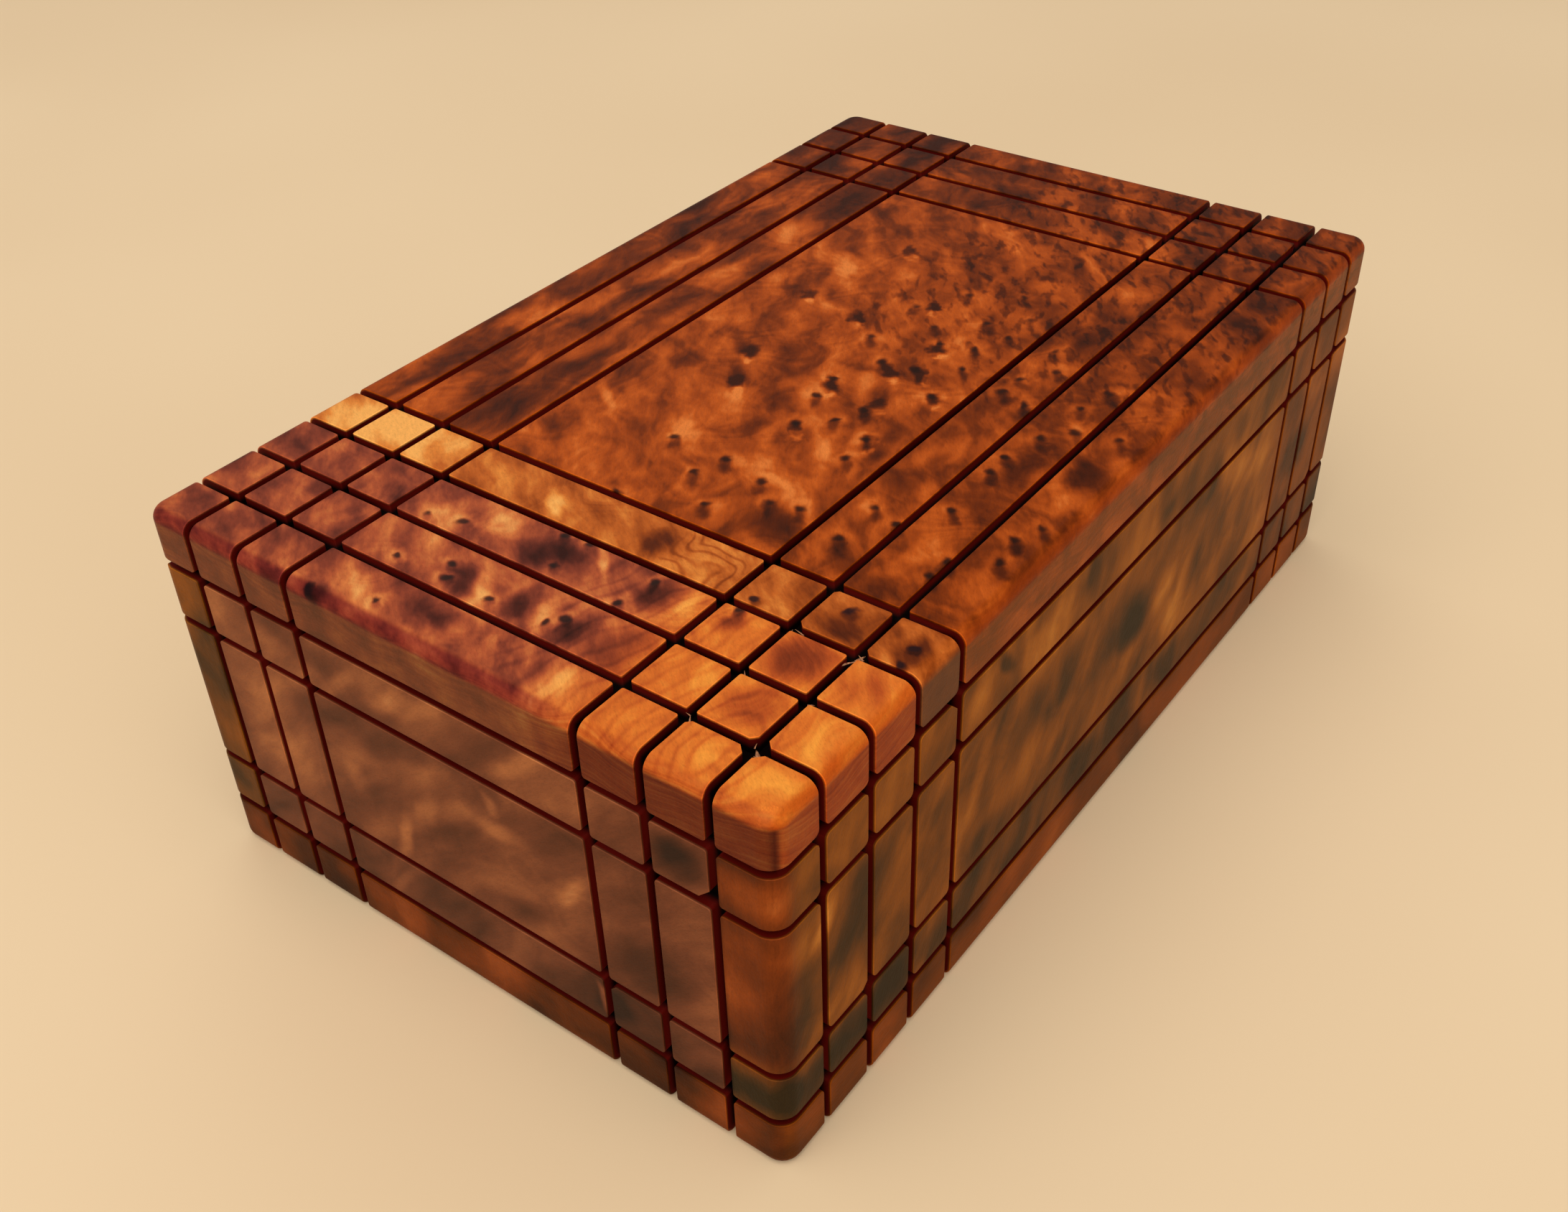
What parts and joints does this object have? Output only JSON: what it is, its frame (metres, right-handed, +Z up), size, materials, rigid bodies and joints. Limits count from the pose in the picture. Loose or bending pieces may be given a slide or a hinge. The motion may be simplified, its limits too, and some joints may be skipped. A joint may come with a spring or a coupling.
{
  "type": "wooden puzzle box",
  "caption": "Rectangular burl wood box covered by a grid of saw cuts that hide a sliding keyhole rail, a key drawer and a hinged, locking lid.",
  "frame": {"origin": "middle of the underside, on the surface that the box stands on", "axes": "+X along the box to the far end, -Y to the front with the keyhole rail, +Z up through the lid"},
  "size_m": [0.16, 0.1, 0.058],
  "materials": {
    "lid_burl": "satin waxed thuya burl, orange brown with dark eyes",
    "light_burl": "satin waxed light burl strip",
    "wall_burl": "satin waxed thuya burl, duller brown",
    "base_burl": "satin waxed thuya burl, red brown",
    "plain_wood": "plain sanded wood",
    "brass": "aged satin brass"
  },
  "bodies": {
    "case": {"base_board": "base_burl", "front_wall": "wall_burl", "back_wall": "wall_burl", "near_end_wall": "wall_burl", "far_end_wall": "wall_burl", "compartment_floor": "plain_wood", "drawer_runner_front": "plain_wood", "drawer_runner_back": "plain_wood", "drawer_stop_pin": "brass", "rail_stop_pin": "brass", "keyhole_rosette": "brass", "lock_plate": "brass", "lock_case": "brass", "lock_screws": "brass", "left_hinge_wall_leaf": "brass", "left_hinge_pin": "brass", "right_hinge_wall_leaf": "brass", "right_hinge_pin": "brass", "hinge_wall_screws": "brass"},
    "lid": {"lid_near_board": "lid_burl", "lid_light_strip": "light_burl", "lid_main_board": "lid_burl", "left_hinge_lid_leaf": "brass", "right_hinge_lid_leaf": "brass", "hinge_lid_screws": "brass", "strike_plate": "brass", "left_staple": "brass", "right_staple": "brass", "strike_screws": "brass"},
    "rail": {"keyhole_rail": "wall_burl"},
    "drawer": {"drawer_front": "wall_burl", "drawer_bottom": "plain_wood", "drawer_left_side": "plain_wood", "drawer_right_side": "plain_wood", "drawer_back": "plain_wood", "key": "brass"},
    "cam": {"lock_cam": "brass"},
    "bolt": {"lock_bolt": "brass"}
  },
  "joints": [
    {"name": "lid_hinge", "type": "hinge", "parent": "case", "child": "lid", "pos_m": [0, 0.0482, 0.0499], "axis": [-1, 0, 0], "range_deg": [0, 95]},
    {"name": "rail_slide", "type": "slide", "parent": "case", "child": "rail", "axis": [1, 0, 0], "range_m": [0, 0.052]},
    {"name": "drawer_slide", "type": "slide", "parent": "case", "child": "drawer", "axis": [-1, 0, 0], "range_m": [0, 0.05]},
    {"name": "cam_turn", "type": "hinge", "parent": "case", "child": "cam", "pos_m": [0, -0.0395, 0.0449], "axis": [0, -1, 0], "range_deg": [0, 90]},
    {"name": "bolt_slide", "type": "slide", "parent": "case", "child": "bolt", "axis": [1, 0, 0], "range_m": [0, 0.00368]}
  ],
  "couplings": [
    {"joint": "cam_turn", "follows": "bolt_slide", "rad_per_m": 427.19}
  ]
}
